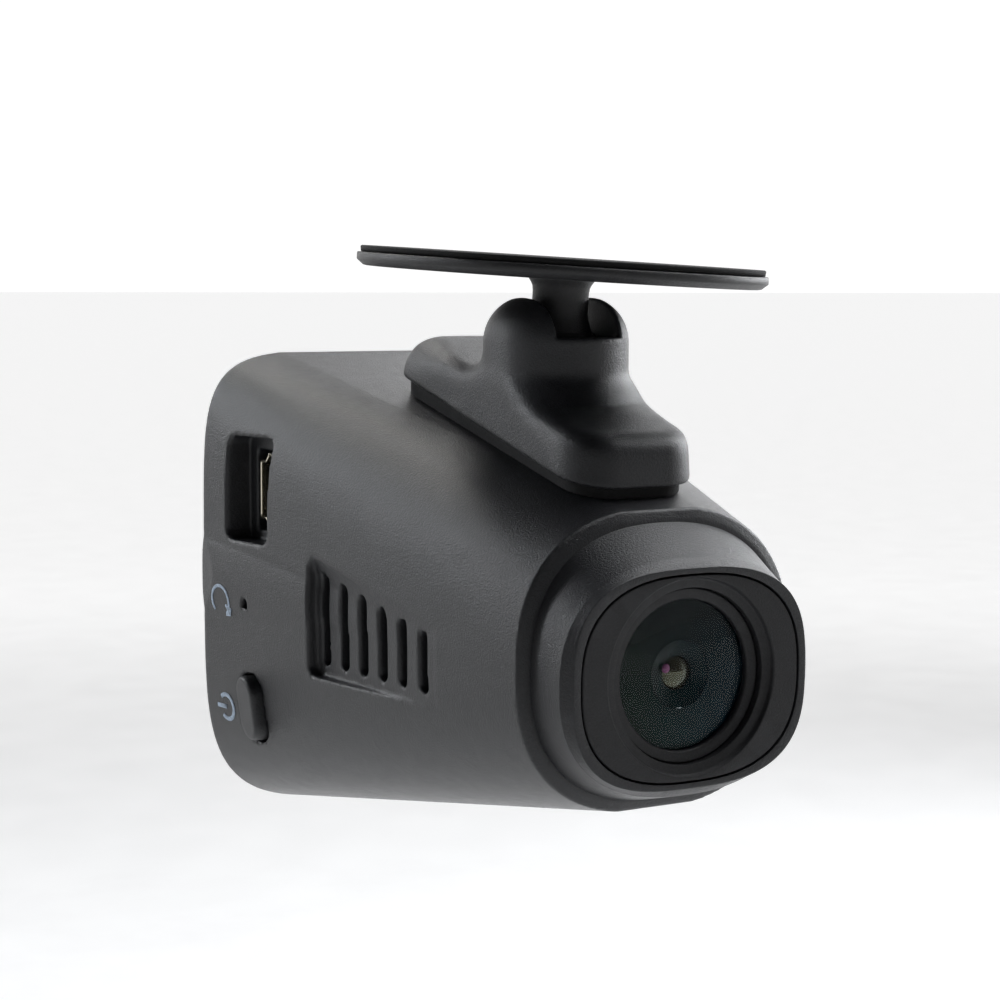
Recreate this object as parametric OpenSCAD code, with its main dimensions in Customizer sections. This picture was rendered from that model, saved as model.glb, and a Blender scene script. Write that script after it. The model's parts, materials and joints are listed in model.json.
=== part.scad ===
// Windscreen dash camera with a ball-jointed adhesive plate, in millimetres.
// The lens looks along -Y and +Z is up. The origin is the centre of the adhesive face.

/* [Body] */
// Width of the body at its back
rear_w = 44.4; // [42:0.1:46]
// Height of the body at its back
rear_h = 48.2; // [47:0.1:50]
// Distance from the lens face to the back of the body
body_depth = 58.6; // [58.2:0.1:60]
// Width of the front end of the housing
snout_w = 29.6; // [29:0.1:30]
// Height of the front end of the housing
snout_h = 27.1; // [26.4:0.1:27.2]
// Thickness of the housing walls
wall = 1.8; // [1.6:0.1:2]

/* [Lens collar] */
// Width of the collar at its front chamfer
collar_w = 26.4; // [26:0.1:26.6]
// Height of the collar at its front chamfer
collar_h = 22.1; // [21.6:0.1:22.2]
// Radius of the bevelled recess in the trim ring
recess_r = 8.9; // [8.7:0.05:9]
// Clear radius of the front glass
glass_r = 6.75; // [6.5:0.05:6.9]

/* [Side features] */
// Number of slots in each vent
slot_count = 6; // [4:1:6]
// Distance between neighbouring slots
slot_pitch = 3.55; // [3.5:0.05:3.6]
// Width of one slot
slot_w = 1.4; // [1.2:0.05:1.6]
// Depth of the vent recess at its back end
vent_depth = 1.6; // [1.2:0.1:1.7]
// Width of the power button
button_w = 4; // [3.6:0.1:4.2]
// Length of the power button
button_l = 6.8; // [6.2:0.1:7]
// Radius of the reset pinhole
pinhole_r = 0.5; // [0.4:0.05:0.6]

/* [Back] */
// Width of the screen window
window_w = 29; // [28:0.5:29.5]
// Height of the screen window
window_h = 21; // [20:0.5:21.5]
// Number of keys under the screen
key_count = 4; // [4:1:4]
// Distance between neighbouring keys
key_pitch = 7.2; // [7:0.1:7.3]

/* [Mount] */
// Width of the mount foot
foot_w = 14; // [13.6:0.1:14.4]
// Length of the mount foot
foot_l = 37.4; // [36:0.1:38]
// Height of the side wall of the mount foot
foot_h = 4.6; // [4.4:0.1:4.8]
// Outer radius of the domed socket
dome_r = 6.7; // [6.6:0.05:6.9]
// Radius of the ball
ball_r = 4.2; // [4.1:0.01:4.22]
// Radius of the stem
stem_r = 2.7; // [2.5:0.05:2.75]
// Width of the slot through the dome
dome_slot_w = 6.9; // [6.8:0.1:7.2]
// Radius of the adhesive plate
plate_r = 19.6; // [18:0.1:20]
// Forward tilt of the plate against the body, in degrees
plate_pitch = 2.5; // [0:0.5:8]
// Sideways tilt of the plate against the body, in degrees
plate_roll = 2.5; // [0:0.1:3]

/* [Hidden] */
$fn = 64;

snout_y = 5.7;
snout_z = 0.8;
rear_z = 2.95;
collar_z = -0.1;
seam_y = 5.1;
cover_y = body_depth - 2.4;
board_y = 46.2;
board_t = 1.2;
board_z = 2.9;
button_y = 49.3;
button_z = -9.2;
button_x = -21.15;
reset_y = 49.8;
reset_z = 1.55;
usb_y = 49.5;
usb_z = 13.2;
card_z = -1;
card_y = 48.3;
screen_z = rear_z + 4.6;
key_z = rear_z - 15.2;
case_screw_x = 15.3;
case_screw_z = 17.9;
taper_end = body_depth - 0.8;
top_slope = atan((rear_z + rear_h / 2 - snout_z - snout_h / 2) / (taper_end - snout_y));
ball_y = 23.4;
ball_z = 26.3;
fit = 0.08;
snout_round = [0.82, 0.82];
rear_round = [0.33, 0.455];
seat_t = 0.54;
stem_lean = 24.5;
cavity_r = ball_r + seat_t + 2 * fit;
plug_h = 0.8;
stem_h = 8.7;
plate_t = 1.3;
pad_t = 0.6;
face_h = stem_h + plate_t + pad_t;
face_x = face_h * cos(plate_pitch) * sin(plate_roll);
face_y = ball_y - face_h * sin(plate_pitch);
face_z = ball_z + face_h * cos(plate_pitch) * cos(plate_roll);
foot_slope = 14.6;
foot_low = 20.05;

// Height of the top of the housing above the lens axis
function top_z(y) = snout_z + snout_h / 2 + (y - snout_y) * tan(top_slope);
// Half width of the housing at mid height
function side_x(y) = snout_w / 2 + (rear_w - snout_w) / 2 * (y - snout_y) / (body_depth - snout_y);
// Squarish oval, flat at top and bottom, as two arcs of n points; the powers shape its upper and
// lower half, each round at 1 and square at 0
function oval_outline(w, h, power, n = 16) =
  [for (side = [0, 180], i = [0 : n - 1])
    let (a = side - 78 + i * 156 / (n - 1), p = sin(a) > 0 ? power[0] : power[1])
    [w / 2 * sign(cos(a)) * pow(abs(cos(a)), p), h / 2 * sign(sin(a)) * pow(abs(sin(a)) / sin(78), p)]];

// Moves the lens frame to the adhesive face
module place() translate([-face_x, -face_y, -face_z]) children();

// Turns a flat outline to stand at depth y, t thick towards the back
module upright(y, z, t) translate([0, y + t, z]) rotate([90, 0, 0]) linear_extrude(height = t) children();

// Rounded outline of the snout and its collar
module snout_oval(w, h) polygon(oval_outline(w, h, snout_round, 30));

// Squarer outline of the back
module rear_oval(w, h) polygon(oval_outline(w, h, rear_round));

module rounded_rect(w, l, r) {
  square([w - 2 * r, l], center = true);
  square([w, l - 2 * r], center = true);
  for (x = [-1, 1], y = [-1, 1]) translate([x * (w / 2 - r), y * (l / 2 - r)]) circle(r = r);
}

// A solid box from corner to corner
module box(low, high) translate(low) cube(high - low);

// A round bar along Y
module bar_y(r, y, length) translate([0, y, 0]) rotate([-90, 0, 0]) cylinder(h = length, r = r);

// A solid skinned over outlines that stand one behind another, each with the same number of points
module skin(rings) {
  n = len(rings[0]);
  polyhedron(
    points = [for (ring = rings) each ring],
    faces = concat([[for (i = [n - 1 : -1 : 0]) i]],
      [for (k = [0 : len(rings) - 2], i = [0 : n - 1])
        each [[k * n + i, (k + 1) * n + (i + 1) % n, (k + 1) * n + i],
          [k * n + i, k * n + (i + 1) % n, (k + 1) * n + (i + 1) % n]]],
      [[for (i = [0 : n - 1]) (len(rings) - 1) * n + i]]));
}

// An outline stood up at depth y
function stand(points, y, z) = [for (p = points) [p[0], y, z + p[1]]];

// The tapering solid of the housing
module body_solid() {
  skin([stand(oval_outline(snout_w - 1.5, snout_h - 1.5, snout_round), seam_y, snout_z),
    stand(oval_outline(snout_w, snout_h, snout_round), snout_y, snout_z),
    stand(oval_outline(rear_w, rear_h, rear_round), taper_end, rear_z),
    stand(oval_outline(rear_w - 1.2, rear_h - 1.2, rear_round), body_depth, rear_z)]);
}

// The space inside the housing walls
module body_space() {
  skin([stand(oval_outline(snout_w - 2 * wall, snout_h - 2 * wall, snout_round), snout_y + wall, snout_z + 0.1),
    stand(oval_outline(rear_w - 2 * wall, rear_h - 2 * wall, rear_round), body_depth + 1, rear_z)]);
}

// Upright pill along Z pointing along X
module side_pill(w, l, x, length) {
  translate([x, 0, 0]) rotate([90, 0, 90]) linear_extrude(height = length) {
    square([w, l - w], center = true);
    for (s = [-1, 1]) translate([0, s * (l / 2 - w / 2)]) circle(r = w / 2);
  }
}

// Vent recess with its slots, cut into the left side
module vent_cuts() {
  taper = atan((rear_w - snout_w) / 2 / (body_depth - snout_y));
  lean = atan(tan(taper) - vent_depth / 20);
  translate([-side_x(18), 18, 0]) rotate([0, 0, lean]) {
    rotate([90, 0, 90]) translate([0, 0, -6]) linear_extrude(height = 6)
      polygon([[-0.3, -4.2], [20.2, -4], [20.7, -3.4], [20.8, 6.4], [20, 7.6], [19.2, 7.8], [-0.3, 3.6]]);
    for (i = [0 : slot_count - 1])
      translate([0, 19.3 - i * slot_pitch, 0])
        rotate([90, 0, 90]) translate([0, 0, -1]) linear_extrude(height = 6) hull_slot(i);
  }
}

// Outline of one slot, shorter towards the front
module hull_slot(i) {
  top = 6.2 - i * 0.69;
  low = -3;
  translate([-slot_w / 2, low + slot_w / 2]) square([slot_w, top - low - slot_w]);
  for (z = [low + slot_w / 2, top - slot_w / 2]) translate([0, z]) circle(r = slot_w / 2);
}

// Bosses that take the four case screws
module case_bosses(r, y, length) {
  for (x = [-1, 1], z = [-1, 1])
    translate([x * case_screw_x, 0, rear_z + z * case_screw_z]) bar_y(r, y, length);
}

// Posts that take the screws of the main board, joined to the top and bottom walls
module board_posts() {
  for (x = [-8, 8]) {
    box([x - 2, 38, 15.6], [x + 2, board_y - 0.01, 26]);
    box([x - 2, 38, -22], [x + 2, board_y - 0.01, -9.9]);
  }
}

// The four board screw positions
module at_board_screws() for (x = [-8, 8], z = [-11.9, 17.6]) translate([x, 0, z]) children();

module front_shell() {
  color([0.13, 0.135, 0.15]) place() difference() {
    body_solid();
    difference() {
      body_space();
      for (s = [-20, 20]) translate([s, 28.5, 2]) cube([12, 25, 16], center = true);
      box([-24, 44.6, 5.5], [-16.4, 54.4, 21.4]);
      box([-24, 45.4, -14.8], [-17.2, 53.4, 4.2]);
      box([16.2, 45.1, -8.2], [24, 51, 6.2]);
      case_bosses(2.2, 47.5, cover_y - 47.6);
      board_posts();
      translate([0, 27.6, top_z(27.6)]) rotate([top_slope, 0, 0]) translate([-5, -15.5, -5]) cube([10, 31, 6]);
    }
    bar_y(10.45, 4, 8);
    upright(cover_y - 0.02, rear_z, 5) rear_oval(rear_w - 2 * wall - 0.3, rear_h - 2 * wall - 0.3);
    case_bosses(0.95, 48.5, 20);
    at_board_screws() bar_y(0.95, 41, 6);
    for (s = [0, 1]) mirror([s, 0, 0]) vent_cuts();
    box([-30, 45.9, 8], [-18.6, 53.4, 18.7]);
    box([-19, usb_y - 2.3, usb_z - 4.1], [-10, usb_y + 2.3, usb_z + 4.1]);
    translate([-30, reset_y, reset_z]) rotate([0, 90, 0]) cylinder(h = 14, r = pinhole_r);
    translate([0, button_y, button_z]) side_pill(button_w + 0.6, button_l + 0.6, -30, 20);
    translate([0, button_y, button_z]) side_pill(button_w + 2.4, button_l + 2.4, -19.05, 5);
    box([14, card_y - 0.9, card_z - 5.9], [30, card_y + 0.9, card_z + 5.9]);
    foot_holes(1.05);
    translate([0, 45, -30]) cylinder(h = 20, r = 0.5);
  }
}

// Holes for the screws that hold the foot, drilled square to the sloping top
module foot_holes(r) {
  for (y = [14, 38]) translate([0, y, top_z(y)]) rotate([top_slope, 0, 0])
    translate([0, 0, -6]) cylinder(h = 8, r = r);
}

module rear_cover() {
  color([0.11, 0.115, 0.125]) place() difference() {
    union() {
      upright(cover_y, rear_z, 1.9) rear_oval(rear_w - 2 * wall - 0.5, rear_h - 2 * wall - 0.5);
      for (x = [-18.3, 18.3]) box([x - 0.6, cover_y - 1.6, rear_z - 12], [x + 0.6, cover_y + 0.1, rear_z + 12]);
    }
    translate([0, cover_y - 1, screen_z]) rotate([-90, 0, 0]) linear_extrude(height = 5)
      rounded_rect(window_w - 3, window_h - 3, 1);
    translate([0, cover_y + 0.8, screen_z]) rotate([-90, 0, 0]) linear_extrude(height = 5)
      rounded_rect(window_w, window_h, 1.6);
    for (i = [0 : key_count - 1]) translate([(i - (key_count - 1) / 2) * key_pitch, 0, key_z])
      key_pill(5.6, 4, cover_y - 1, 5);
    case_bosses(1.15, 50, 10);
    case_bosses(1.85, cover_y + 0.9, 2);
    translate([0, 0, key_z - 4.9]) bar_y(0.5, 50, 10);
  }
}

// Flat pill lying along X, pointing along Y
module key_pill(w, h, y, length) {
  translate([0, y, 0]) rotate([-90, 0, 0]) linear_extrude(height = length) {
    square([w - h, h], center = true);
    for (s = [-1, 1]) translate([s * (w - h) / 2, 0]) circle(r = h / 2);
  }
}

module snout_collar() {
  color([0.125, 0.13, 0.145]) place() difference() {
    union() {
      hull() {
        upright(seam_y - 0.05, snout_z, 0.05) snout_oval(snout_w - 2.2, snout_h - 1.8);
        upright(1, collar_z, 0.05) snout_oval(collar_w, collar_h);
        upright(0, collar_z, 0.05) snout_oval(collar_w - 1.7, collar_h - 2.1);
      }
      bar_y(10.4, seam_y - 0.1, 5.1);
    }
    bar_y(8.6, -1, 15);
    upright(-1, collar_z, 2.6) snout_oval(collar_w - 3.1, collar_h - 3.4);
  }
}

module front_ring() {
  color([0.09, 0.095, 0.105]) place() difference() {
    upright(0.02, collar_z, 1.5) snout_oval(collar_w - 3.4, collar_h - 3.7);
    rotate([-90, 0, 0]) cylinder(h = 0.87, r1 = recess_r, r2 = recess_r - 0.75);
    bar_y(recess_r - 0.9, -1, 4);
  }
}

module lens_retainer() {
  color([0.05, 0.05, 0.055]) place() difference() {
    union() {
      bar_y(recess_r - 1, 0.95, 2);
      bar_y(8.55, 1.6, 2.4);
    }
    bar_y(glass_r, 0, 5);
    translate([0, 0.94, 0]) rotate([-90, 0, 0]) cylinder(h = 0.5, r1 = glass_r + 0.4, r2 = glass_r);
    bar_y(glass_r + 0.3, 1.9, 5);
  }
}

module front_lens() {
  color([0.25, 0.32, 0.42, 0.5]) place() difference() {
    intersection() {
      bar_y(glass_r + 0.22, 0.4, 3.6);
      translate([0, 20.1, 0]) sphere(r = 19.4, $fn = 96);
      union() {
        bar_y(glass_r - 0.05, 0.4, 1.62);
        bar_y(glass_r + 0.22, 1.98, 2);
      }
    }
    translate([0, 7.6, 0]) sphere(r = 5.8, $fn = 96);
  }
}

module lens_barrel() {
  color([0.07, 0.07, 0.08]) place() difference() {
    union() {
      bar_y(8.5, 4.05, 6);
      bar_y(6, 10, 9.4);
    }
    translate([0, 4, 0]) rotate([-90, 0, 0]) cylinder(h = 4.9, r1 = 6.6, r2 = 4.2);
    bar_y(3.6, 8.8, 2.7);
    bar_y(2.6, 11, 2.6);
    bar_y(4.3, 13.5, 4.4);
    bar_y(3.4, 17, 4);
  }
}

module middle_lens() {
  color([0.4, 0.3, 0.35, 0.5]) place() intersection() {
    bar_y(3.56, 8.5, 2.5);
    translate([0, 13.9, 0]) sphere(r = 5.2);
  }
}

module rear_lens() {
  color([0.35, 0.4, 0.4, 0.5]) place() intersection() {
    bar_y(4.26, 13.6, 3.4);
    translate([0, 19, 0]) sphere(r = 5.3, $fn = 128);
    translate([0, 9.6, 0]) sphere(r = 7.2, $fn = 128);
  }
}

module lens_holder() {
  color([0.1, 0.1, 0.11]) place() difference() {
    union() {
      bar_y(7.4, 13, 7.1);
      box([-8.5, 20, -8.5], [8.5, 24.2, 8.5]);
      for (s = [-1, 1]) translate([s * 10, 0, 0]) bar_y(2, 21.6, 2.6);
      box([-10, 21.6, -2], [10, 24.2, 2]);
    }
    bar_y(6.02, 12, 8.9);
    box([-5.2, 20.6, -5.2], [5.2, 21.7, 5.2]);
    box([-7, 21.6, -7], [7, 24.3, 7]);
    for (s = [-1, 1]) translate([s * 10, 0, 0]) bar_y(0.8, 20, 6);
  }
}

module ir_filter() color([0.5, 0.75, 0.75, 0.5]) place() box([-5.15, 20.9, -5.15], [5.15, 21.5, 5.15]);

module image_sensor() color([0.15, 0.13, 0.2]) place() union() {
  box([-5.6, 22.9, -5], [5.6, 24.15, 5]);
  box([-3.2, 22.6, -2.4], [3.2, 22.95, 2.4]);
}

module sensor_board() {
  color([0.04, 0.25, 0.12]) place() difference() {
    box([-12.2, 24.2, -9.4], [12.2, 25.2, 9.4]);
    for (s = [-1, 1]) translate([s * 10, 0, 0]) bar_y(1.05, 22, 6);
  }
}

module sensor_flex() {
  color([0.7, 0.4, 0.1]) place() union() {
    box([-4, 25.25, -8.9], [4, 26, -6.3]);
    box([-3.6, 26, -8.7], [3.6, 26.2, 3.2]);
    box([-3.6, 26.15, 3], [3.6, board_y - 3.8, 3.2]);
    box([-3.6, board_y - 4, 3.15], [3.6, board_y - 3.8, 12.6]);
    box([-4, board_y - 3.85, 11.2], [4, board_y - 2.31, 14.2]);
  }
}

module main_board() {
  color([0.03, 0.22, 0.12]) place() difference() {
    union() {
      upright(board_y, board_z, board_t) rounded_rect(31.6, 33.2, 2.6);
      box([-4.4, board_y - 2.3, 11], [4.4, board_y + 0.01, 14.4]);
    }
    at_board_screws() bar_y(1.05, 40, 10);
  }
}

module shield_can() {
  color([0.7, 0.71, 0.72]) place() difference() {
    box([-9, board_y - 1.9, -9.4], [7, board_y - 0.01, 5.6]);
    box([-8.7, board_y - 1.6, -9.1], [6.7, board_y + 1, 5.3]);
  }
}

module heat_pad() color([0.45, 0.5, 0.62]) place()
  box([-7, board_y - 3.2, -8], [5, board_y - 1.92, 4]);

// Outline of the mini-USB shell, narrow side towards the back
module usb_outline(g) {
  polygon([[-1.98 - g, -3.85 - g], [-0.2, -3.85 - g], [0.55 + g * 0.5, -3.1 - g], [1.98 + g, -3.1 - g],
    [1.98 + g, 3.1 + g], [0.55 + g * 0.5, 3.1 + g], [-0.2, 3.85 + g], [-1.98 - g, 3.85 + g]]);
}

module usb_shell() {
  color([0.8, 0.76, 0.62]) place() translate([0, usb_y, usb_z]) difference() {
    rotate([90, 0, 90]) translate([0, 0, -18.5]) linear_extrude(height = 9) usb_outline(0);
    rotate([90, 0, 90]) translate([0, 0, -18.6]) linear_extrude(height = 8.4) usb_outline(-0.3);
  }
}

module usb_tongue() {
  color([0.06, 0.06, 0.065]) place() translate([0, usb_y, usb_z]) union() {
    box([-17.4, -0.45, -2.3], [-11.5, 0.45, 2.3]);
    rotate([90, 0, 90]) translate([0, 0, -11.6]) linear_extrude(height = 1.38) usb_outline(-0.32);
  }
}

module card_socket() {
  color([0.72, 0.72, 0.74]) place() difference() {
    box([2, board_y + board_t + 0.01, card_z - 7], [15.6, card_y + 0.85, card_z + 7]);
    box([2.6, card_y - 0.65, card_z - 5.6], [20, card_y + 0.65, card_z + 5.6]);
  }
}

module memory_card() color([0.05, 0.05, 0.06]) place() difference() {
  box([5.3, card_y - 0.35, card_z - 5.3], [20.1, card_y + 0.35, card_z + 5.3]);
  box([5, card_y - 1, card_z + 4.2], [10.5, card_y + 1, card_z + 6]);
}

module power_button() {
  color([0.12, 0.125, 0.14]) place() translate([0, button_y, button_z]) union() {
    side_pill(button_w, button_l, button_x, 2.4);
    side_pill(button_w + 1.8, button_l + 1.8, button_x + 2.4, 0.7);
    translate([button_x + 3.05, 0, 0]) rotate([0, 90, 0]) cylinder(h = 0.8, r = 1);
  }
}

module power_switch() color([0.75, 0.75, 0.72]) place() union() {
  box([-15.9, board_y + board_t + 0.01, button_z - 2.4], [-12.6, button_y + 2, button_z + 2.4]);
  translate([-16.5, button_y, button_z]) rotate([0, 90, 0]) cylinder(h = 0.7, r = 0.9);
}

module reset_switch() color([0.75, 0.75, 0.72]) place() difference() {
  box([-16, board_y + board_t + 0.01, reset_z - 1.9], [-12.4, reset_y + 1.8, reset_z + 1.9]);
  translate([-17, reset_y, reset_z]) rotate([0, 90, 0]) cylinder(h = 3, r = 1);
}

module reset_plunger() color([0.08, 0.08, 0.09]) place() translate([-16.7, reset_y, reset_z]) rotate([0, 90, 0])
  cylinder(h = 2, r = 0.7);

module display_window() color([0.05, 0.06, 0.08, 0.6]) place() translate([0, cover_y + 0.82, screen_z])
  rotate([-90, 0, 0]) linear_extrude(height = 1) rounded_rect(window_w - 0.2, window_h - 0.2, 1.5);

module display_panel() color([0.2, 0.22, 0.26]) place() box([-14.2, cover_y - 2.1, screen_z - 10.2],
  [14.2, cover_y - 0.1, screen_z + 10.2]);

module display_frame() {
  color([0.8, 0.8, 0.8]) place() difference() {
    box([-15, cover_y - 3, screen_z - 11], [15, cover_y - 0.15, screen_z + 11]);
    box([-14.25, cover_y - 2.15, screen_z - 10.25], [14.25, cover_y + 1, screen_z + 10.25]);
  }
}

// One key with its retaining flange and push stub
module key_cap(i) {
  translate([(i - 2.5) * key_pitch, 0, key_z]) {
    key_pill(5, 3.4, cover_y - 0.4, 2.9);
    key_pill(6.4, 4.8, cover_y - 1, 0.7);
    bar_y(0.9, cover_y - 1.7, 0.8);
  }
}

module rear_key_1() color([0.16, 0.165, 0.18]) place() key_cap(1);

module rear_key_2() color([0.16, 0.165, 0.18]) place() key_cap(2);

module rear_key_3() color([0.16, 0.165, 0.18]) place() key_cap(3);

module rear_key_4() color([0.16, 0.165, 0.18]) place() key_cap(4);

module key_board() color([0.03, 0.22, 0.12]) place()
  box([-12.9, cover_y - 4, key_z - 3.4], [12.9, cover_y - 3, key_z + 4.4]);

module key_switches() color([0.78, 0.78, 0.8]) place()
  for (i = [1 : key_count]) translate([(i - 2.5) * key_pitch, 0, key_z]) bar_y(1.6, cover_y - 2.99, 0.55);

module battery() color([0.35, 0.36, 0.4]) place() box([-11, 28.4, -10.4], [11, 33.4, 1.6]);

module speaker() {
  color([0.2, 0.2, 0.21]) place() translate([-13.6, 32.6, 1.2]) rotate([0, 90, 0]) difference() {
    cylinder(h = 1.9, r = 5);
    translate([0, 0, -0.1]) cylinder(h = 0.7, r = 3.9);
  }
}

module microphone() color([0.7, 0.68, 0.6]) place() translate([0, board_y + board_t + 0.01, -12])
  rotate([-90, 0, 0]) cylinder(h = 1.2, r = 2);

module dust_mesh() {
  color([0.04, 0.04, 0.045]) place() for (s = [0, 1]) mirror([s, 0, 0])
    translate([-13.95, 0, 0]) rotate([90, 0, 90]) linear_extrude(height = 0.25)
      polygon([[18.5, -3.8], [38.5, -3.8], [38.5, 7], [18.5, 3.6]]);
}

// Column that bounds the plan of the foot
module foot_column(inset) translate([0, foot_mid_y(), 10]) linear_extrude(height = 30)
  rounded_rect(foot_w - 2 * inset, foot_l - 2 * inset, 4.6 - inset);

function foot_mid_y() = 26.55;

// Layer parallel to the underside of the foot, from low to high above it
module foot_layer(low, high) translate([0, ball_y, foot_low]) rotate([foot_slope, 0, 0])
  translate([-15, -35, low]) cube([30, 70, high - low]);

module mount_foot() {
  color([0.12, 0.125, 0.14]) place() difference() {
    union() {
      intersection() {
        foot_column(0);
        foot_layer(0, foot_h - 0.8);
      }
      intersection() {
        foot_column(0.7);
        foot_layer(1, foot_h);
      }
      intersection() {
        translate([-foot_w / 2 + 0.2, 0, 10]) cube([foot_w - 0.4, 60, 40]);
        foot_layer(1, 20);
        translate([0, ball_y, 0]) rotate_extrude($fn = 96) flare_profile();
      }
      translate([0, ball_y, ball_z]) rotate_extrude($fn = 96) dome_profile();
    }
    translate([-dome_slot_w / 2, 0, ball_z + 3.1]) cube([dome_slot_w, 50, 10]);
    translate([0, ball_y, ball_z]) sphere(r = cavity_r, $fn = 96);
    under_ball() translate([0, 0, -10]) cylinder(h = 9.9, r = cavity_r - 0.02, $fn = 96);
    stem_sweep();
    for (y = [14, 38]) translate([0, y, top_z(y)]) rotate([top_slope, 0, 0])
      translate([0, 0, -1]) cylinder(h = 5.9, r = 0.85);
  }
}

// Room for the stem to lean forwards and back in the floor of the slot
module stem_sweep() translate([0, ball_y, ball_z]) {
  for (a = [-stem_lean, stem_lean]) rotate([a, 0, 0]) cylinder(h = 5, r = stem_r + 0.5);
  rotate([90, 0, 90]) translate([0, 0, -stem_r - 0.4]) linear_extrude(height = 2 * stem_r + 0.8)
    polygon([[0, 0], [5 * tan(stem_lean), 5], [-5 * tan(stem_lean), 5]]);
}

// Half outline of the dome above the ball's centre, with a full shoulder
module dome_profile() {
  polygon(concat([[0, -3], [dome_r, -3], [dome_r, 2.2]],
    [for (i = [1 : 6]) [dome_r - 4.4 + 4.4 * cos(i * 15), 2.2 + 4.35 * sin(i * 15)]], [[0, 6.6]]));
}

// Half outline of the neck, flaring out to the foot in a hollow curve
module flare_profile() {
  polygon(concat([[0, 17], [dome_r + 5, 17]],
    [for (i = [0 : 6]) [dome_r + 5.2 - 5.3 * sin(i * 15), 25.2 - 5.2 * cos(i * 15)]], [[0, 25.2]]));
}

module foot_gasket() {
  color([0.03, 0.03, 0.03]) place() difference() {
    intersection() {
      foot_column(0.9);
      foot_layer(-6, -0.01);
      translate([0, ball_y, top_z(ball_y)]) rotate([top_slope, 0, 0]) translate([-15, -35, 0.02]) cube([30, 70, 6]);
    }
    foot_holes(1.05);
  }
}

// Things set square to the foot, measured from the centre of the ball
module under_ball() translate([0, ball_y, ball_z]) rotate([foot_slope, 0, 0]) children();

module socket_plug() color([0.5, 0.5, 0.52]) place() under_ball()
  translate([0, 0, -5.98]) cylinder(h = plug_h, r = cavity_r - 0.02, $fn = 96);

module pressure_spring() {
  color([0.75, 0.76, 0.78]) place() under_ball() difference() {
    translate([0, 0, -5.16]) cylinder(h = 0.35, r = 3.6);
    translate([0, 0, -7]) cylinder(h = 3, r = 2.2);
  }
}

module ball_seat() {
  color([0.85, 0.84, 0.8]) place() under_ball() difference() {
    sphere(r = ball_r + fit + seat_t, $fn = 96);
    sphere(r = ball_r + fit, $fn = 96);
    translate([-9, -9, -0.25]) cube([18, 18, 9]);
  }
}

// Things that ride with the plate, measured up from the centre of the ball
module plate_frame() translate([0, ball_y, ball_z]) rotate([plate_pitch, plate_roll, 0]) children();

module seat_ring() {
  color([0.07, 0.07, 0.075]) place() plate_frame() difference() {
    sphere(r = ball_r + fit + seat_t, $fn = 96);
    sphere(r = ball_r + fit, $fn = 96);
    translate([0, 0, -8]) cube([18, 18, 19], center = true);
    cylinder(h = 8, r = stem_r + 0.3);
  }
}

module ball_stem() {
  color([0.1, 0.105, 0.115]) place() plate_frame() union() {
    sphere(r = ball_r, $fn = 96);
    cylinder(h = stem_h + 0.01, r = stem_r);
    translate([0, 0, stem_h - 0.7]) cylinder(h = 0.71, r1 = stem_r, r2 = stem_r + 0.45);
  }
}

module mount_plate() {
  color([0.09, 0.095, 0.1]) place() plate_frame() union() {
    translate([0, 0, stem_h + 0.02]) cylinder(h = 0.5, r1 = plate_r - 0.9, r2 = plate_r - 0.2, $fn = 128);
    translate([0, 0, stem_h + 0.5]) cylinder(h = plate_t - 0.5, r = plate_r, $fn = 128);
  }
}

module adhesive_pad() color([0.06, 0.06, 0.06]) place() plate_frame()
  translate([0, 0, stem_h + plate_t + 0.01]) cylinder(h = pad_t - 0.01, r = plate_r - 0.3, $fn = 128);

// Countersunk screw pointing along -Z, its head on top at the origin
module screw(head_r, head_h, r, length) {
  difference() {
    union() {
      translate([0, 0, -head_h]) cylinder(h = head_h, r = head_r);
      translate([0, 0, -length]) cylinder(h = length, r = r);
    }
    for (a = [0, 90]) rotate([0, 0, a]) translate([-head_r * 0.6, -0.2, -head_h * 0.6]) cube([head_r * 1.2, 0.4, head_h]);
  }
}

module case_screws() {
  color([0.2, 0.2, 0.21]) place() for (x = [-1, 1], z = [-1, 1])
    translate([x * case_screw_x, cover_y + 1.75, rear_z + z * case_screw_z]) rotate([-90, 0, 0])
      screw(1.7, 0.8, 0.9, 8);
}

module board_screws() {
  color([0.7, 0.7, 0.72]) place() at_board_screws()
    translate([0, board_y + board_t + 0.81, 0]) rotate([-90, 0, 0]) screw(1.4, 0.8, 0.9, 5);
}

module sensor_screws() {
  color([0.7, 0.7, 0.72]) place() for (s = [-1, 1])
    translate([s * 10, 26.01, 0]) rotate([-90, 0, 0]) screw(1.6, 0.8, 0.75, 4);
}

module foot_screws() {
  color([0.7, 0.7, 0.72]) place() for (y = [14, 38]) translate([0, y, top_z(y)]) rotate([top_slope, 0, 0])
    translate([0, 0, -5.9]) rotate([180, 0, 0]) screw(1.9, 0.9, 0.8, 10.4);
}

front_shell();
rear_cover();
snout_collar();
front_ring();
lens_retainer();
front_lens();
lens_barrel();
middle_lens();
rear_lens();
lens_holder();
ir_filter();
image_sensor();
sensor_board();
sensor_flex();
main_board();
shield_can();
heat_pad();
usb_shell();
usb_tongue();
card_socket();
memory_card();
power_button();
power_switch();
reset_switch();
reset_plunger();
display_window();
display_panel();
display_frame();
rear_key_1();
rear_key_2();
rear_key_3();
rear_key_4();
key_board();
key_switches();
battery();
speaker();
microphone();
dust_mesh();
mount_foot();
foot_gasket();
socket_plug();
pressure_spring();
ball_seat();
seat_ring();
ball_stem();
mount_plate();
adhesive_pad();
case_screws();
board_screws();
sensor_screws();
foot_screws();
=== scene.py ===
import json
import math

import bmesh
import bpy
import numpy as np
from mathutils import Matrix, Vector
from mathutils.bvhtree import BVHTree

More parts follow.
